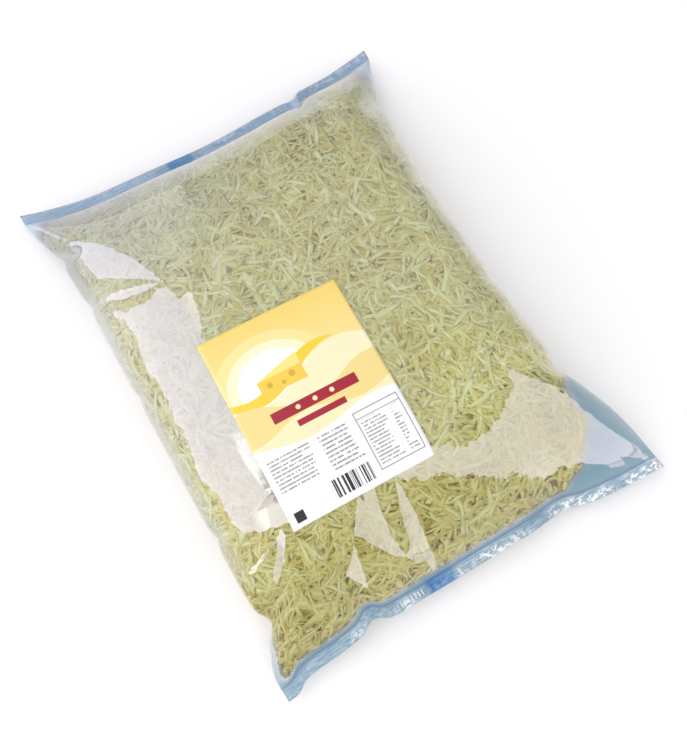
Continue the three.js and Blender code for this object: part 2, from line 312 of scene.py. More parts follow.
class Bag:
    """The bag's surface as a closed grid, where a place is (round, row) and a depth is below the film."""

    def __init__(self):
        self.rows, self.across, self.points = film_grid()
        self.count = self.points.shape[1]
        ring = np.concatenate([self.points[:, -1:], self.points, self.points[:, :1]], 1)
        along_u = (ring[:, 2:] - ring[:, :-2]) / 2
        along_v = np.gradient(self.points, axis=0)
        normal = np.cross(along_u, along_v)
        length = np.linalg.norm(normal, axis=2, keepdims=True)
        self.normal = self.soften(normal / np.maximum(length, TINY))
        self.step_u = np.linalg.norm(along_u, axis=2)
        self.step_v = np.linalg.norm(along_v, axis=2)
        self.area = length[..., 0]
        self.room = self.thickness()
        self.full = self.filled_share(3)

    def soften(self, field):
        """Directions averaged with those beside them."""
        field = (np.roll(field, 1, 1) + 2 * field + np.roll(field, -1, 1)) / 4
        inner = (field[:-2] + 2 * field[1:-1] + field[2:]) / 4
        field = np.concatenate([field[:1], inner, field[-1:]])
        return field / np.maximum(np.linalg.norm(field, axis=2, keepdims=True), TINY)

    def thickness(self):
        """How thick the bag is near each point: the most in its row within the spread, in mm, across."""
        top, stations, spread = AROUND + 1, 121, 20
        room = np.zeros(self.points.shape[:2])
        for k, row in enumerate(self.points):
            upper, lower = row[:top], np.concatenate([row[:1], row[:top - 1:-1], row[top - 1:top]])
            x = np.linspace(row[:, 0].min(), row[:, 0].max(), stations)
            thick = np.interp(x, upper[:, 0], upper[:, 2]) - np.interp(x, lower[:, 0], lower[:, 2])
            reach = max(1, int(spread / (x[1] - x[0])))
            wide = np.array([thick[max(0, i - reach):i + reach + 1].max() for i in range(len(x))])
            room[k] = np.interp(row[:, 0], x, wide)
        return room

    def filled_share(self, soft):
        """1 where cheese lies under the film and 0 where the film is empty, with a change soft mm wide."""
        x, y = self.points[..., 0], self.points[..., 1]
        ragged = 5 * cloud(x, y, 8, 40)
        inside = np.minimum(x - curve_through(FILL_LEFT, y), curve_through(FILL_RIGHT, y) - x + ragged)
        row = np.arange(len(self.rows))[:, None]
        from_near = row - SEAL_ROWS - EMPTY_ROWS["near"]
        from_far = len(self.rows) - 1 - SEAL_ROWS - EMPTY_ROWS["far"] - row
        from_end = np.minimum(from_near, from_far) * ROW_PITCH
        return smooth_step(-soft, soft, inside) * smooth_step(-3, 3, from_end)

    def sample(self, field, u, v):
        """What the field says at places between the grid's points."""
        u = np.mod(u, self.count)
        v = np.clip(v, 0, len(field) - 1.001)
        iu, iv = np.floor(u).astype(int), np.floor(v).astype(int)
        fu, fv = u - iu, v - iv
        if field.ndim == 3:
            fu, fv = fu[..., None], fv[..., None]
        nu = (iu + 1) % self.count
        return mix(mix(field[iv, iu], field[iv, nu], fu), mix(field[iv + 1, iu], field[iv + 1, nu], fu), fv)

    def at(self, u, v, depth):
        """Points under the film, never deeper than the middle of the bag."""
        deepest = MOST_SUNK * self.sample(self.room, u, v)
        held = deepest * np.tanh(depth / np.maximum(deepest, 0.05))
        return self.sample(self.points, u, v) - self.sample(self.normal, u, v) * held[..., None]


bag = Bag()


# ---- Making meshes and finishes ----

def to_mesh(name, vertices, faces, attributes=None):
    """A new piece of these points, in mm, and faces. An attribute is a number or a vector for every point."""
    mesh = bpy.data.meshes.new(name)
    mesh.from_pydata((np.asarray(vertices) * MM).tolist(), [], faces)
    mesh.validate()
    for key, values in (attributes or {}).items():
        values = np.asarray(values, np.float32)
        kind = "FLOAT" if values.ndim == 1 else "FLOAT_VECTOR"
        layer = mesh.attributes.new(key, kind, "POINT")
        layer.data.foreach_set("value" if values.ndim == 1 else "vector", values.ravel())
    piece = bpy.data.objects.new(name, mesh)
    bpy.context.collection.objects.link(piece)
    mesh.shade_smooth()
    return piece


def close_shell(piece, merge=0):
    """Joins points that lie within merge of each other, and turns every face of the closed shell outwards."""
    body = bmesh.new()
    body.from_mesh(piece.data)
    if merge:
        bmesh.ops.remove_doubles(body, verts=body.verts, dist=merge)
    bmesh.ops.recalc_face_normals(body, faces=body.faces)
    if body.calc_volume(signed=True) < 0:
        bmesh.ops.reverse_faces(body, faces=body.faces)
    body.to_mesh(piece.data)
    body.free()
    piece.data.shade_smooth()


def arithmetic(operation):
    """A method of Wire that adds one Math node."""
    def method(self, *others):
        return self.math(operation, *others)

    return method


class Wire:
    """A socket of a finish's node tree, usable in plain arithmetic."""

    def __init__(self, finish, socket):
        self.finish, self.socket = finish, socket

    def math(self, operation, *others):
        return self.finish.node("ShaderNodeMath", {"operation": operation}, dict(enumerate((self, *others))))

    __add__ = __radd__ = arithmetic("ADD")
    __mul__ = __rmul__ = arithmetic("MULTIPLY")
    __sub__ = arithmetic("SUBTRACT")
    __truediv__ = arithmetic("DIVIDE")
    __pow__ = arithmetic("POWER")
    __abs__ = arithmetic("ABSOLUTE")
    most = arithmetic("MAXIMUM")

    def __rsub__(self, other):
        return self.finish.node("ShaderNodeMath", {"operation": "SUBTRACT"}, {0: other, 1: self})

    def clip(self):
        return self.most(0).math("MINIMUM", 1)

    def ramp(self, low, high):
        """0 below low and 1 above high, straight in between. low may be the larger."""
        return ((self - low) / (high - low)).clip()


class Nodes:
    """A node tree, and short ways to add to it."""

    def __init__(self, tree):
        self.tree = tree

    def node(self, kind, settings=None, inputs=None, out=0):
        """A node of this kind with its settings made and its inputs fed. out is which output is wanted."""
        made = self.tree.nodes.new(kind)
        for key, value in (settings or {}).items():
            setattr(made, key, value)
        for key, value in (inputs or {}).items():
            self.feed(made.inputs[key], value)
        return Wire(self, made.outputs[out])

    def feed(self, socket, value):
        if isinstance(value, Wire):
            self.tree.links.new(value.socket, socket)
        elif isinstance(value, tuple) and len(value) == 3 and socket.type == "RGBA":
            socket.default_value = (*value, 1)
        else:
            socket.default_value = value

    def blend(self, share, first, second):
        """Two colours, or two coloured sockets, mixed by a share."""
        return self.node("ShaderNodeMix", {"data_type": "RGBA"}, {0: share, 6: first, 7: second}, out=2)

    def place(self):
        return self.node("ShaderNodeTexCoord", out=3)

    def attribute(self, name):
        """A number kept at each point of the mesh."""
        return self.node("ShaderNodeAttribute", {"attribute_name": name}, out=2)

    def split(self, vector):
        parts = self.node("ShaderNodeSeparateXYZ", {}, {0: vector}).socket.node
        return [Wire(self, part) for part in parts.outputs]

    def join(self, x, y, z):
        return self.node("ShaderNodeCombineXYZ", {}, {0: x, 1: y, 2: z})

    def noise(self, vector, scale, detail=2.0, rough=0.5):
        fed = {"Vector": vector, "Scale": scale, "Detail": detail, "Roughness": rough}
        return self.node("ShaderNodeTexNoise", {}, fed)


class Finish(Nodes):
    """A material, and the nodes that make it."""

    def __init__(self, name, **fixed):
        self.material = bpy.data.materials.new(name)
        self.material.use_nodes = True
        super().__init__(self.material.node_tree)
        self.tree.nodes.clear()
        self.output = self.tree.nodes.new("ShaderNodeOutputMaterial")
        self.shader = self.tree.nodes.new("ShaderNodeBsdfPrincipled")
        for socket, value in fixed.items():
            self.shader.inputs[socket.replace("_", " ").title()].default_value = value
        self.tree.links.new(self.shader.outputs[0], self.output.inputs["Surface"])

    def give(self, socket, value):
        self.feed(self.shader.inputs[socket], value)

    def bump(self, height, strength, distance):
        fed = {"Height": height, "Strength": strength, "Distance": distance}
        self.give("Normal", self.node("ShaderNodeBump", {}, fed))

    def wear(self, piece):
        piece.data.materials.append(self.material)


def srgb(red, green, blue):
    """A colour as seen, 0 to 255, turned into light."""
    seen = [c / 255 for c in (red, green, blue)]
    return tuple(c / 12.92 if c <= 0.04045 else ((c + 0.055) / 1.055) ** 2.4 for c in seen)


# ---- Camera and light ----

def aim_camera():
    """The photograph's view: from above the near left corner, turned a little on its own axis."""
    azimuth, elevation, roll = (math.radians(angle) for angle in (-39.92, 70.83, 9.02))
    looked_at, distance = Vector((-6.05, -26.55, 0)), 622.93
    focal_length, picture_height, sensor = 865.0, 752, 36  # the first two in pixels
    back = Vector((math.sin(azimuth) * math.cos(elevation), -math.cos(azimuth) * math.cos(elevation),
                   math.sin(elevation)))
    level = Vector((math.cos(azimuth), math.sin(azimuth), 0))
    upright = back.cross(level)
    right = level * math.cos(roll) + upright * math.sin(roll)
    up = upright * math.cos(roll) - level * math.sin(roll)
    camera = bpy.data.objects.new("camera", bpy.data.cameras.new("camera"))
    camera.data.sensor_width = sensor
    camera.data.lens = focal_length * sensor / picture_height
    camera.data.clip_start, camera.data.clip_end = 0.02, 20
    place = (looked_at + back * distance) * MM
    turned = [(*axis, at) for axis, at in zip(zip(right, up, back), place)]
    camera.matrix_world = Matrix(turned + [(0, 0, 0, 1)])
    bpy.context.collection.objects.link(camera)
    bpy.context.scene.camera = camera


PANEL_DISTANCE = 1.6  # in metres, from the middle of the bag


def standing_panel(name, azimuth, half_angle, low, high, glow, tint):
    """A lit upright panel that faces the bag, seen from it between the elevations low and high."""
    distance = PANEL_DISTANCE
    width = 2 * distance * math.tan(math.radians(half_angle))
    bottom, top = (distance * math.tan(math.radians(e)) for e in (low, high))
    light = bpy.data.lights.new(name, "AREA")
    light.shape, light.size, light.size_y = "RECTANGLE", width, top - bottom
    light.energy = glow * math.pi * width * (top - bottom)
    light.color = tint
    panel = bpy.data.objects.new(name, light)
    towards = Vector((math.cos(math.radians(azimuth)), math.sin(math.radians(azimuth)), 0))
    panel.location = towards * distance + Vector((0, 0, (top + bottom) / 2))
    panel.rotation_euler = towards.to_track_quat("Z", "Y").to_euler()
    panel.visible_camera = False
    bpy.context.collection.objects.link(panel)


def light_studio():
    """Three tall white panels, pale walls, and a dim ceiling with a lit middle."""
    cool, warm = (0.99, 0.96, 1.0), (1.0, 0.98, 0.97)
    standing_panel("left_panel", azimuth=145, half_angle=62, low=2, high=84, glow=1.6, tint=cool)
    standing_panel("right_panel", azimuth=-50, half_angle=50, low=1, high=74, glow=1.02, tint=warm)
    standing_panel("near_panel", azimuth=-126.5, half_angle=26.5, low=1, high=74, glow=0.88, tint=warm)
    walls, ceiling = 0.36, 0.24
    world = bpy.data.worlds.new("studio")
    world.use_nodes = True
    background = world.node_tree.nodes["Background"]
    background.inputs["Color"].default_value = (0.96, 0.98, 1.0, 1)
    room = Nodes(world.node_tree)
    upwards = room.split(room.node("ShaderNodeTexCoord"))[2]
    overhead = upwards.ramp(0.975, 0.985)
    strength = upwards.ramp(0.6, 0.05) * (walls - ceiling) + ceiling + overhead
    room.feed(background.inputs["Strength"], strength)
    bpy.context.scene.world = world
    bpy.context.scene.view_settings.view_transform = "Standard"
    bpy.context.scene.view_settings.look = "None"


def lay_floor():
    half_width, drop = 3, 0.0005  # The drop keeps the floor just clear of the bag.
    mesh = bmesh.new()
    bmesh.ops.create_grid(mesh, x_segments=1, y_segments=1, size=half_width)
    bmesh.ops.translate(mesh, verts=mesh.verts, vec=(0, 0, -drop))
    data = bpy.data.meshes.new("floor")
    mesh.to_mesh(data)
    mesh.free()
    floor = bpy.data.objects.new("floor", data)
    bpy.context.collection.objects.link(floor)
    finish = Finish("pale_floor", roughness=0.6)
    finish.give("Base Color", (0.92, 0.92, 0.92))
    finish.wear(floor)


# ---- The film ----

FAR_AWAY = 99.0
TAUT_LIMIT = 9.0  # past which a distance from a taut patch's edge isn't told apart


def facet_height(x, y):
    """How far the creased facets stand above the smooth film."""
    height = np.zeros_like(x)
    for outline, slopes in FACETS:
        roof = np.full_like(x, FAR_AWAY)
        for (x0, y0), (x1, y1), slope in zip(outline, outline[1:] + outline[:1], slopes):
            inside = ((x1 - x0) * (y - y0) - (y1 - y0) * (x - x0)) / math.hypot(x1 - x0, y1 - y0)
            roof = np.minimum(roof, inside * slope)
        height = np.maximum(height, roof)
    return height


def tautness(x, y):
    """How far inside the nearest taut patch each place is, in mm times that patch's crispness."""
    most = np.full_like(x, -TAUT_LIMIT)
    for crisp, outline in TAUT:
        away, inside = np.full_like(x, FAR_AWAY), np.zeros(x.shape, bool)
        for (x0, y0), (x1, y1) in zip(outline, outline[1:] + outline[:1]):
            dx, dy = x1 - x0, y1 - y0
            share = np.clip(((x - x0) * dx + (y - y0) * dy) / (dx ** 2 + dy ** 2), 0, 1)
            away = np.minimum(away, np.hypot(x - mix(x0, x1, share), y - mix(y0, y1, share)))
            if y0 != y1:
                inside ^= ((y0 > y) != (y1 > y)) & (x < mix(x0, x1, (y - y0) / dy))
        most = np.maximum(most, np.where(inside, away, -away) * crisp)
    return np.clip(most, -TAUT_LIMIT, TAUT_LIMIT)


def round_faces(rows, count):
    """Four-sided faces of a grid of points that closes round the bag."""
    r = np.arange(rows - 1)[:, None]
    c = np.arange(count)[None, :]
    a, b = r * count + c, r * count + (c + 1) % count
    return np.stack([a, b, b + count, a + count], -1).reshape(-1, 4)


def end_caps(top, first):
    """Faces that close one end, between its upper points and its lower ones. first is its first point."""
    lower = [0] + [2 * top - k for k in range(1, top)] + [top]
    corners = [[first + i for i in (k, k + 1, lower[k + 1], lower[k])] for k in range(top)]
    return [list(dict.fromkeys(face)) for face in corners]


def make_film():
    rows, count = len(bag.rows), bag.count
    x, y = bag.points[..., 0], bag.points[..., 1]
    upper = np.arange(count) <= AROUND
    points = bag.points + bag.normal * (upper * facet_height(x, y))[..., None]
    faces = round_faces(rows, count).tolist()
    faces += end_caps(AROUND, 0) + end_caps(AROUND, (rows - 1) * count)
    across = np.concatenate([bag.across, bag.across[::-1][1:-1]])
    spot = np.stack([np.tile(across, rows), np.repeat(bag.rows, count), np.tile(upper, rows)], -1)
    taut = np.where(upper, tautness(x, y), -TAUT_LIMIT)
    film = to_mesh("film", points.reshape(-1, 3), faces,
                   {"spot": spot, "full": bag.filled_share(7).ravel(), "taut": taut.ravel()})
    close_shell(film, merge=1e-7)
    ClearFilm().wear(film)
    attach(film, "root")
    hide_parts("bag")


class ClearFilm(Finish):
    """Thin glossy film. It is cloudy where it stands off the cheese, and blue where it is welded.

    x and y are the place's shares of the bag's width and length, from -1 to 1, and px and py are in metres.
    """

    def __init__(self):
        super().__init__("clear_film", roughness=0.05)
        spot = self.node("ShaderNodeAttribute", {"attribute_name": "spot"}, out=1)
        self.x, self.y, self.upper = self.split(spot)
        self.here = self.place()
        self.px, self.py, pz = self.split(self.here)
        self.near = self.y.ramp(0.2, -0.2)
        self.seal = abs(self.y).ramp(SEAL_START - 0.001, SEAL_START + 0.001)
        self.empty = 1 - self.attribute("full")
        self.drift = self.noise(self.here, 22, 3)
        self.lines = self.noise(self.join(self.px * 14, self.py * 900, pz * 900), 1, 2)
        # The patch at the near left by the label's corner. Where the film there is taut, it is painted near
        # white as a painted highlight for glare.
        self.corner = self.x.ramp(-0.5, -0.54) * self.x.ramp(-0.7, -0.66) * self.y.ramp(-0.46, -0.5)
        ragged = (self.noise(self.here, 160, 3, 0.6) - 0.5) * (12 - self.empty * 9)
        self.taut = (self.attribute("taut") + ragged).ramp(-0.4, 0.6)
        self.mark_welds()
        gloss, haze = self.gloss(), self.haze()
        cover = (haze + gloss * (1 - haze)).clip()
        mirrored = (gloss * (1 - haze) / cover).clip()
        self.give("Metallic", mirrored)
        self.give("Base Color", self.blend(mirrored, self.cloudy_colour(), self.mirror_tint()))
        relief = self.noise(self.here, 160, 3) * 0.35 + self.lines * self.seal * 0.9
        self.bump(relief + self.white * self.seal * 0.6, 0.3, 0.0005)
        clear = self.node("ShaderNodeBsdfTransparent")
        glossy = Wire(self, self.shader.outputs[0])
        both = self.node("ShaderNodeMixShader", {}, {0: cover, 1: clear, 2: glossy})
        self.feed(self.output.inputs["Surface"], both)

    def gloss(self):
        """How much of the room the film mirrors: most where it is taut, or seen at a slant."""
        facing = self.node("ShaderNodeLayerWeight", {}, {"Blend": 0.5}, out=1)
        patchy = self.noise(self.here, 60, 3).ramp(0.3, 0.7)
        mirror = mix(0.36, 0.42, self.x.ramp(-0.5, -0.6)) * (patchy * 0.1 + 0.93)
        return facing ** 2.6 + 0.022 + self.taut * (mirror + self.empty * 0.14 + self.corner * 0.12)

    def haze(self):
        """How cloudy the film is: at its sides and far end, off the cheese, and in the welds."""
        x, y, drift = self.x, self.y, self.drift
        left = (drift * 0.06 - x).ramp(0.84, 0.91) * (y + drift * 0.1).ramp(-0.62, -0.5) * y.ramp(0.84, 0.7)
        right = (x + drift * 0.1).ramp(0.78, 0.92) * (y + drift * 0.1).ramp(-0.55, -0.4)
        far = (y + drift * 0.16).ramp(0.84, 0.98)
        veil = (y + drift * 0.3).ramp(-0.45, 0.1) * 0.13 + drift.ramp(0.45, 0.8) * 0.05
        veil = veil + (y + drift * 0.2).ramp(0.35, 0.7) * x.ramp(0.1, -0.35) * 0.14
        stood_off = self.empty * (mix(0.4, 0.58, self.near) - self.taut * 0.4)
        # Painted highlight: the taut corner patch is made cloudier, in near white.
        stood_off = stood_off + self.corner * self.taut * 0.34
        body = (left * 0.18 + right * 0.12 + far * 0.2 + veil + 0.015 + stood_off).clip()
        lines = self.lines.ramp(0.4, 0.65)
        # The painted glints also make the weld more opaque.
        weld = self.seal * (0.58 + lines * 0.2 + self.caught * 0.2 + self.white * 0.3)
        return (body * (1 - self.seal) + weld + self.back_seam * 0.3).most(self.rim * 0.7).clip()

    def mark_welds(self):
        """Fine lines run along a weld, with white painted glints where it is crumpled, and the back seam is
        caught in its middle.
        """
        px, near = self.px, self.near
        self.zones = (self.noise(self.join(px * 30, near * 5, 1), 1, 1) + px * 0.8).ramp(0.42, 0.6)
        outer = abs(self.y).ramp(SEAL_START + 0.004, SEAL_START + 0.02)
        # Painted glints: white blotches on the outer half of each weld where it is crumpled, most in the near
        # weld.
        crumple_glints = self.noise(self.join(px * 210, self.py * 280, near), 1, 3, 0.7).ramp(0.48, 0.55) * outer
        crumple_glints = crumple_glints * (self.zones * 0.9 + 0.1) * (near * 0.75 + 0.25)
        # self.white is where the weld is painted white as glints.
        self.white = crumple_glints.most(self.ticks() * 0.8)
        self.caught = abs(px - (BACK_SEAM * MM) + (self.lines - 0.5) * 0.006).ramp(0.0115, 0.009)
        self.rim = abs(abs(self.y) - SEAL_START).ramp(0.005, 0.001) * (near * 0.4 + 0.3)
        self.back_seam = self.caught * (1 - self.upper) * (1 - self.seal)

    def ticks(self):
        """A row of short white ticks in the near weld: its crimps, painted white as glints."""
        pitch, px = 0.0027, self.px
        tick = (px / pitch).math("FRACT")
        tick = tick.ramp(0.3, 0.4) * tick.ramp(0.75, 0.65) * px.ramp(-0.064, -0.058) * px.ramp(-0.039, -0.041)
        return tick * abs(abs(self.y) - (SEAL_START + 0.024)).ramp(0.012, 0.008) * self.near

    def weld_colour(self):
        lines = self.lines.ramp(0.3, 0.7)
        far = self.blend(lines, srgb(102, 144, 178), srgb(150, 178, 200))
        near = self.blend(lines * 0.6 + self.zones * 0.4, srgb(106, 152, 176), srgb(186, 208, 220))
        seam = self.blend(self.near, srgb(70, 124, 174), srgb(40, 104, 178))
        paler = self.px.ramp(-0.036, -0.015) * 0.6 + self.lines.ramp(0.35, 0.65) * 0.4
        seam = self.blend(paler, seam, srgb(104, 154, 190))
        weld = self.blend(self.caught, self.blend(self.near, far, near), seam)
        # Painted glints: the weld turns near white where self.white is high, less so in the caught seam.
        return self.blend(self.white * (1 - self.caught * 0.7), weld, srgb(248, 250, 253))

    def cloudy_colour(self):
        cloudy = self.blend(self.y.ramp(0.4, 0.75), srgb(208, 213, 224), srgb(156, 166, 184))
        ear = self.blend(self.near, srgb(180, 194, 204), srgb(114, 158, 174))
        cloudy = self.blend(self.empty, cloudy, ear)
        # Painted highlight: near white on the taut corner patch.
        cloudy = self.blend(self.corner * self.taut, cloudy, srgb(240, 234, 226))
        cloudy = self.blend(self.back_seam, cloudy, srgb(150, 188, 212))
        return self.blend(self.rim, self.blend(self.seal, cloudy, self.weld_colour()), srgb(74, 122, 164))

    def mirror_tint(self):
        warm = self.x.ramp(-0.5, -0.44).most(self.y.ramp(-0.58, -0.64)).most(self.corner)
        tint = self.blend(warm, srgb(226, 221, 223), srgb(255, 250, 238))
        return self.blend(self.empty, tint, srgb(238, 235, 248))


# ---- The cheese ----

CORE_DEPTH = 2.6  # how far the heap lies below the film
CORE_COLUMNS = 86
CORE_STEP = 2  # rows of film to one row of the heap
CORE_INSET = {"near": 4, "far": 9, "left": 5, "right": 7}  # in rows at the ends, and in mm at the sides


def make_core():
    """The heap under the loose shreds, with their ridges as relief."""
    first = SEAL_ROWS + EMPTY_ROWS["near"] + CORE_INSET["near"]
    last = len(bag.rows) - SEAL_ROWS - EMPTY_ROWS["far"] - CORE_INSET["far"]
    rows = np.arange(first, last, CORE_STEP)
    ring_u, ring_v = [], []
    for row in rows:
        x, y = bag.points[row, :AROUND + 1, 0], bag.points[row, AROUND // 2, 1]
        left = curve_through(FILL_LEFT, y) + CORE_INSET["left"]
        right = curve_through(FILL_RIGHT, y) - CORE_INSET["right"]
        across = np.linspace(*np.interp([left, right], x, bag.across), CORE_COLUMNS + 1)
        ring_u.append(np.concatenate([(1 + across) / 2, 1.5 - across[::-1][1:-1] / 2]) * AROUND)
        ring_v.append(np.full(2 * CORE_COLUMNS, float(row)))
    u, v = np.array(ring_u), np.array(ring_v)
    x, y, z = np.moveaxis(bag.sample(bag.points, u, v), -1, 0)
    relief = 0.7 * cloud(x, y, 3.2, 5) + 0.6 * cloud(x + 9, y - z, 7, 6)

    # The heap draws in over its last rows, so that its flat ends stay well under the film.
    from_end = np.minimum(rows - first, rows[-1] - rows)[:, None]
    closing = 30 * (1 - smooth_step(0, 12, from_end))
    points = bag.at(u, v, CORE_DEPTH + relief + closing)
    faces = round_faces(len(rows), u.shape[1]).tolist()
    faces += end_caps(CORE_COLUMNS, 0) + end_caps(CORE_COLUMNS, (len(rows) - 1) * 2 * CORE_COLUMNS)
    core = to_mesh("cheese_core", points.reshape(-1, 3), faces)
    close_shell(core)
    packed_cheese().wear(core)
    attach(core, "root")
    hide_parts("bag")


def packed_cheese():
    """The cheese that lies deep, painted a darker gold than the shreds as painted shade for the gaps between
    them.
    """
    finish = Finish("packed_cheese", roughness=0.6)
    grain = finish.noise(finish.place(), 420, 3)
    # Painted shade: two dark golds, mixed by the grain.
    finish.give("Base Color", finish.blend(grain.ramp(0.35, 0.65), srgb(182, 156, 52), srgb(196, 174, 74)))
    finish.bump(grain, 0.5, 0.001)
    return finish


def shred_template(bends):
    """One straight strip, a unit long and a unit wide and thick, cut across into equal lengths."""
    strip = bmesh.new()
    bmesh.ops.create_cube(strip, size=1)
    long_edges = [e for e in strip.edges if abs((e.verts[0].co - e.verts[1].co).x) > 0.5]
    bmesh.ops.subdivide_edges(strip, edges=long_edges, cuts=bends - 1)
    bmesh.ops.triangulate(strip, faces=strip.faces)
    strip.verts.index_update()
    points = np.array([v.co for v in strip.verts])
    faces = np.array([[v.index for v in f.verts] for f in strip.faces])
    strip.free()
    return points, faces


COURSE_STEPS = 40  # along a shred's middle line
LEAST_DEPTH = 0.35  # of any shred below the film


def shred_courses(curl, sway, phase, heading):
    """The middle line of each shred for a length of one, and which way it heads at each of its points."""
    fine = np.linspace(-0.5, 0.5, COURSE_STEPS + 1)
    turn = curl[:, None] * fine + sway[:, None] * np.sin(fine * 5 + phase[:, None]) * 0.5 + heading[:, None]
    x, y = np.cumsum(np.cos(turn), 1) / COURSE_STEPS, np.cumsum(np.sin(turn), 1) / COURSE_STEPS
    middle = slice(COURSE_STEPS // 2, COURSE_STEPS // 2 + 1)
    return turn, x - x[:, middle], y - y[:, middle]


def lay_shreds(name, where, finish, seed, count, length, width, thick, layer, bends=7):
    """Shreds of one kind, laid under the film. where picks columns, and layer is the range of depths."""
    rng = np.random.RandomState(seed)
    template, faces = shred_template(bends)
    chance = bag.area * where * bag.full
    chance = (chance / chance.sum()).ravel()
    cell = rng.choice(chance.size, count, p=chance)
    v0, u0 = np.divmod(cell, bag.count)
    u0, v0 = u0 + rng.rand(count), v0 + rng.rand(count)
    x0, y0, _ = bag.sample(bag.points, u0, v0).T
    long = rng.uniform(*length, count) * rng.uniform(0.75, 1.0, count)
    wide = rng.uniform(*width, count)
    deep = rng.uniform(*layer, count) + 0.5 * cloud(x0, y0, 16, seed + 50)
    heading = 3.4 * cloud(x0, y0, 24, seed + 70) + rng.normal(0, 0.9, count)
    curl = rng.normal(0, 1, count) * np.where(rng.rand(count) < 0.35, 1.9, 0.5)
    sway = rng.normal(0, 1, count) * 0.6
    dive = rng.uniform(0.2, 1.1, count)
    phase = rng.uniform(0, 2 * math.pi, count)
    tilt = rng.normal(0, 0.35, count)
    twist = rng.normal(0, 0.5, count)

    # A shred that would reach past the cheese is cut shorter, and is left out if that isn't enough.
    turn, line_x, line_y = shred_courses(curl, sway, phase, heading)
    step_u, step_v = bag.sample(bag.step_u, u0, v0), bag.sample(bag.step_v, u0, v0)
    for _ in range(5):
        u = u0[:, None] + line_x * (long / step_u)[:, None]
        v = v0[:, None] + line_y * (long / step_v)[:, None]
        held = bag.sample(bag.full, u, v).min(1) > 0.5
        long = np.where(held, long, long * 0.7)

    s = template[:, 0][None, :]
    station = np.clip(np.round((template[:, 0] + 0.5) * COURSE_STEPS).astype(int), 0, COURSE_STEPS)
    angle = turn[:, station]
    blunt = rng.uniform(0.55, 1.0, count)[:, None]
    taper = (1 - (1 - blunt) * np.abs(2 * s) ** 4) * (1 + 0.22 * np.sin(s * 11 + phase[:, None] * 2))
    lean = tilt[:, None] + twist[:, None] * s * 2
    flat = template[:, 1][None, :] * wide[:, None] * taper
    stand = template[:, 2][None, :] * thick * (0.8 + 0.4 * rng.rand(count))[:, None] * taper
    aside = flat * np.cos(lean) - stand * np.sin(lean) + rng.normal(0, 0.16, flat.shape)
    rise = flat * np.sin(lean) + stand * np.cos(lean) + rng.normal(0, 0.1, flat.shape)
    east = line_x[:, station] * long[:, None] - np.sin(angle) * aside
    north = line_y[:, station] * long[:, None] + np.cos(angle) * aside
    u = u0[:, None] + east / step_u[:, None]
    v = v0[:, None] + north / step_v[:, None]
    depth = deep[:, None] + dive[:, None] * np.sin(s * 4.5 + phase[:, None]) - rise
    depth = LEAST_DEPTH + np.logaddexp(0, (depth - LEAST_DEPTH) * 2) / 2
    points = bag.at(u, v, depth)[held]
    tone = np.repeat(rng.rand(count)[held], template.shape[0])
    # How deep each point lies, as a share, by which the finish paints deeper shreds darker and more golden:
    # painted shade in the gaps.
    depth_shade = np.clip((depth[held] - 0.4) / 3, 0, 1).ravel()
    every = (faces[None] + np.arange(len(points))[:, None, None] * len(template)).reshape(-1, 3).tolist()
    piece = to_mesh(name, points.reshape(-1, 3), every, {"tone": tone, "depth_shade": depth_shade})
    finish.wear(piece)
    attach(piece, "root")
    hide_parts("bag")


def grated_cheese():
    """Pale shreds of two shades. Deeper ones are painted darker and more golden, and those towards the near
    end darker still, as painted shade; pale flecks are painted highlights.
    """
    finish = Finish("grated_cheese", roughness=0.42)
    place = finish.place()
    grain = finish.noise(place, 900, 2)
    depth_shade = finish.attribute("depth_shade")
    shade = finish.blend(finish.attribute("tone"), srgb(190, 182, 86), srgb(209, 215, 160))
    # Painted shade: deeper shreds, which show in the gaps, turn darker and more golden.
    shade = finish.blend(depth_shade.ramp(0.04, 0.6) * 0.96, shade, srgb(187, 166, 44))
    # Painted shade: shreds towards the near end turn darker and yellower, the deeper ones most.
    near = finish.split(place)[1].ramp(-0.09, -0.14)
    shade = finish.blend(near * (depth_shade.ramp(0, 0.35) * 0.55 + 0.4), shade, srgb(156, 143, 20))
    # Pale flecks along the fine grain, painted as highlights.
    shade = finish.blend(grain.ramp(0.4, 0.8) * 0.2, shade, srgb(224, 228, 194))
    finish.give("Base Color", shade)
    finish.bump(grain, 0.4, 0.0005)
    return finish


def fill_bag():
    """Where each kind of shred lies: on the top and sides, or on the underside, but never on the seals."""
    columns = np.arange(bag.count)[None, :]
    on_top, beneath, anywhere = columns <= AROUND, columns > AROUND, columns >= 0
    make_core()
    cheese = grated_cheese()
    lay_shreds("shreds_outer", on_top, cheese, seed=11, count=2300,
               length=(9, 46), width=(1.8, 4.2), thick=0.8, layer=(0.4, 1.3))
    lay_shreds("shreds_middle", on_top, cheese, seed=12, count=3300,
               length=(10, 46), width=(1.8, 3.8), thick=0.9, layer=(0.9, 2.0))
    lay_shreds("shreds_inner", on_top, cheese, seed=13, count=3300,
               length=(12, 40), width=(1.8, 3.0), thick=1.1, layer=(1.6, 2.8))
    lay_shreds("shreds_beneath", beneath, cheese, seed=14, count=4400,
               length=(14, 40), width=(2.2, 3.6), thick=1.2, layer=(0.5, 3.2), bends=5)
    lay_shreds("crumbs", anywhere, cheese, seed=15, count=2400,
               length=(3, 9), width=(1.2, 2.2), thick=0.9, layer=(0.4, 2.4), bends=3)


# ---- The label ----

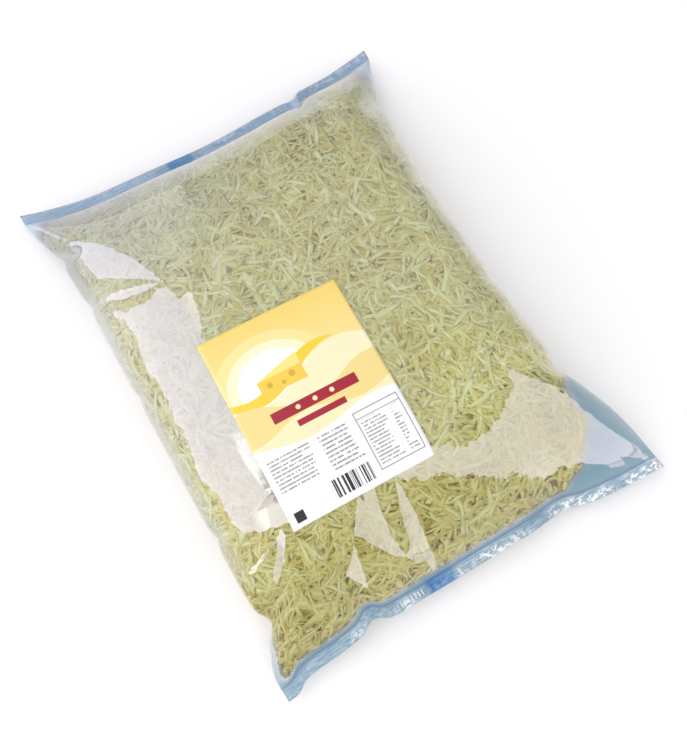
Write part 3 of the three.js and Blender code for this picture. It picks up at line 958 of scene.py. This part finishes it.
def make_label():
    """A sheet of paper laid over the film, whose printed face is mapped from 0 to 1 each way."""
    sheet = bmesh.new()
    bmesh.ops.create_grid(sheet, x_segments=50, y_segments=66, size=0.5)
    uv = sheet.loops.layers.uv.new("print")
    for face in sheet.faces:
        for loop in face.loops:
            loop[uv].uv = (loop.vert.co.x + 0.5, loop.vert.co.y + 0.5)
    c, s = math.cos(LABEL["turn"]), math.sin(LABEL["turn"])
    flat = np.array([v.co[:2] for v in sheet.verts]) * (LABEL["width"], LABEL["length"])
    x = LABEL["x"] + c * flat[:, 0] - s * flat[:, 1]
    y = LABEL["y"] + s * flat[:, 0] + c * flat[:, 1]
    z = film_height(x, y) + LABEL["gap"]
    for vertex, px, py, pz in zip(sheet.verts, x, y, z):
        vertex.co = (px * MM, py * MM, pz * MM)
    bmesh.ops.recalc_face_normals(sheet, faces=sheet.faces)
    if sum(f.normal.z for f in sheet.faces) < 0:
        bmesh.ops.reverse_faces(sheet, faces=sheet.faces)
    mesh = bpy.data.meshes.new("paper_label")
    sheet.to_mesh(mesh)
    sheet.free()
    mesh.shade_smooth()
    label = bpy.data.objects.new("paper_label", mesh)
    bpy.context.collection.objects.link(label)
    solid = label.modifiers.new("paper", "SOLIDIFY")
    solid.thickness, solid.offset = LABEL["paper"] * MM, 1
    PrintedPaper().wear(label)
    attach(label, "root")
    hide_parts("label")


def film_height(x, y):
    """The height of the upper film at each place in the plan, found by stepping towards it on the grid."""
    rows, pitch = len(bag.rows), 1.9
    u, v = np.full(len(x), AROUND / 2), np.full(len(x), rows / 2)
    for _ in range(30):
        here = bag.sample(bag.points, u, v)
        u, v = u + (x - here[:, 0]) / pitch, v + (y - here[:, 1]) / pitch
        u, v = np.clip(u, 0, AROUND - 0.001), np.clip(v, 0, rows - 1.001)
    return bag.sample(bag.points, u, v)[:, 2]


class PrintedPaper(Finish):
    """Coated paper with warm fields and two red bars above, and rows of dashes and a table frame below.

    x and y are in mm from the label's near left corner.
    """

    def __init__(self):
        super().__init__("printed_paper", roughness=0.36)
        u, v, _ = self.split(self.node("ShaderNodeUVMap", {"uv_map": "print"}))
        self.x, self.y = u * LABEL["width"], v * LABEL["length"]
        self.colour = self.blend(self.y.ramp(132, 64), srgb(235, 207, 112), srgb(243, 226, 164))
        self.print_fields()
        self.print_wedge()
        self.print_bars()
        self.print_grey_and_black()
        self.give("Base Color", self.colour)
        fibre = self.noise(self.place(), 1500, 2)
        self.bump(fibre, 0.12, 0.0002)
        self.give("Roughness", 0.32 + fibre * 0.12)

    def lay(self, share, ink):
        """Prints this colour over what is there."""
        self.colour = self.blend(share, self.colour, ink)

    def within(self, value, low, high):
        soft = 0.12
        return value.ramp(low - soft, low + soft) * value.ramp(high + soft, high - soft)

    def box(self, x0, y0, x1, y1):
        return self.within(self.x, x0, x1) * self.within(self.y, y0, y1)

    def disc(self, cx, cy, radius, flat=1.0):
        soft = 0.15
        away = ((self.x - cx) ** 2 + ((self.y - cy) / flat) ** 2) ** 0.5
        return away.ramp(radius + soft, radius - soft)

    def above_wave(self, base, height, length, start):
        return self.y - (base + (self.x / length + start).math("SINE") * height)

    def print_fields(self):
        """A pale sun with two rings, a yellow sweep, and waves below it down to the white part."""
        for radius, ink in ((40, srgb(241, 222, 150)), (32, srgb(246, 235, 196)), (25, srgb(252, 249, 240))):
            self.lay(self.disc(34, 88, radius, 0.82), ink)
        under, over = self.above_wave(92, 9, 17, 3.9), self.above_wave(87, 11, 19, 3.7)
        self.lay(under.ramp(0.3, -0.3) * over.ramp(-0.3, 0.3), srgb(234, 203, 62))
        for wave, ink in (((86, 11, 19, 3.7), srgb(244, 232, 190)), ((72, 7, 14, 1.2), srgb(234, 212, 138)),
                          ((58, 4, 12, 4.4), srgb(243, 229, 184)), ((49, 3.5, 15, 2.2), srgb(238, 238, 240))):
            self.lay(self.above_wave(*wave).ramp(0.2, -0.2), ink)

    def print_wedge(self):
        """A wedge of cheese: its slanting top, its cut face and three holes."""
        x, y = self.x, self.y
        slope = y - 92 - (x - 24) * 0.26
        top = slope.ramp(0.15, -0.15) * (y - 91 + (x - 24) * 0.02).ramp(-0.15, 0.15) * self.within(x, 20, 53)
        foot = (y - 80.5 - (50 - x) * 0.03).ramp(-0.15, 0.15)
        self.lay(top, srgb(246, 224, 128))
        self.lay(self.within(x, 22, 53) * self.within(y, 80.5, 91.2) * foot, srgb(238, 200, 78))
        for hole in ((29, 86.5, 1.9), (38, 84.4, 1.4), (45, 87.6, 2.2)):
            self.lay(self.disc(*hole), srgb(214, 168, 48))

    def print_bars(self):
        red = srgb(160, 26, 50)
        self.lay(self.box(20, 62.4, 80, 69.6), red)
        self.lay(self.box(33, 54.2, 67, 58.4), red)
        for cx in (38, 50, 62):
            self.lay(self.disc(cx, 66, 1.6), srgb(243, 226, 164))

    def dashes(self, x0, y0, x1, y1, pitch, seed):
        """Rows of dashes of uneven length."""
        row, in_row = (self.y / pitch).math("FLOOR"), (self.y / pitch).math("FRACT")
        broken = self.noise(self.join(self.x * 0.9, row * 7.3 + seed, seed), 1, 1).ramp(0.40, 0.44)
        ragged = self.noise(self.join(row * 3.1 + seed, 5, seed), 1, 0) * 16
        rows = in_row.ramp(0.26, 0.34) * in_row.ramp(0.72, 0.64)
        return self.box(x0, y0, x1, y1) * rows * broken * (self.x - (x1 + 5 - ragged)).ramp(0.2, -0.2)

    def print_grey_and_black(self):
        """The dashes, the frame round two columns of them, a bar pattern and a square."""
        grey, black = srgb(60, 58, 60), srgb(34, 32, 34)
        left, middle = self.dashes(4, 22, 33, 44, 2.45, 2), self.dashes(39, 19, 62, 44, 2.75, 5)
        table = self.dashes(67.5, 8.6, 84, 40, 2.3, 9).most(self.dashes(88, 8.6, 95.5, 40, 2.3, 12))
        self.lay(left.most(middle).most(table) * 0.72, grey)
        frame = self.box(65.3, 7, 97, 46) - self.box(65.9, 7.6, 96.4, 45.4) + self.box(65.3, 41, 97, 41.5)
        self.lay(frame.clip() * 0.8, grey)
        bars = self.noise(self.join(self.x * 1.5, 3.7, 8), 1, 0).ramp(0.49, 0.51)
        self.lay(bars * self.box(32.5, 4.4, 60, 15.8), black)
        self.lay(self.box(4.5, 3, 11, 9.4), black)


aim_camera()
light_studio()
lay_floor()
fill_bag()
make_film()
make_label()
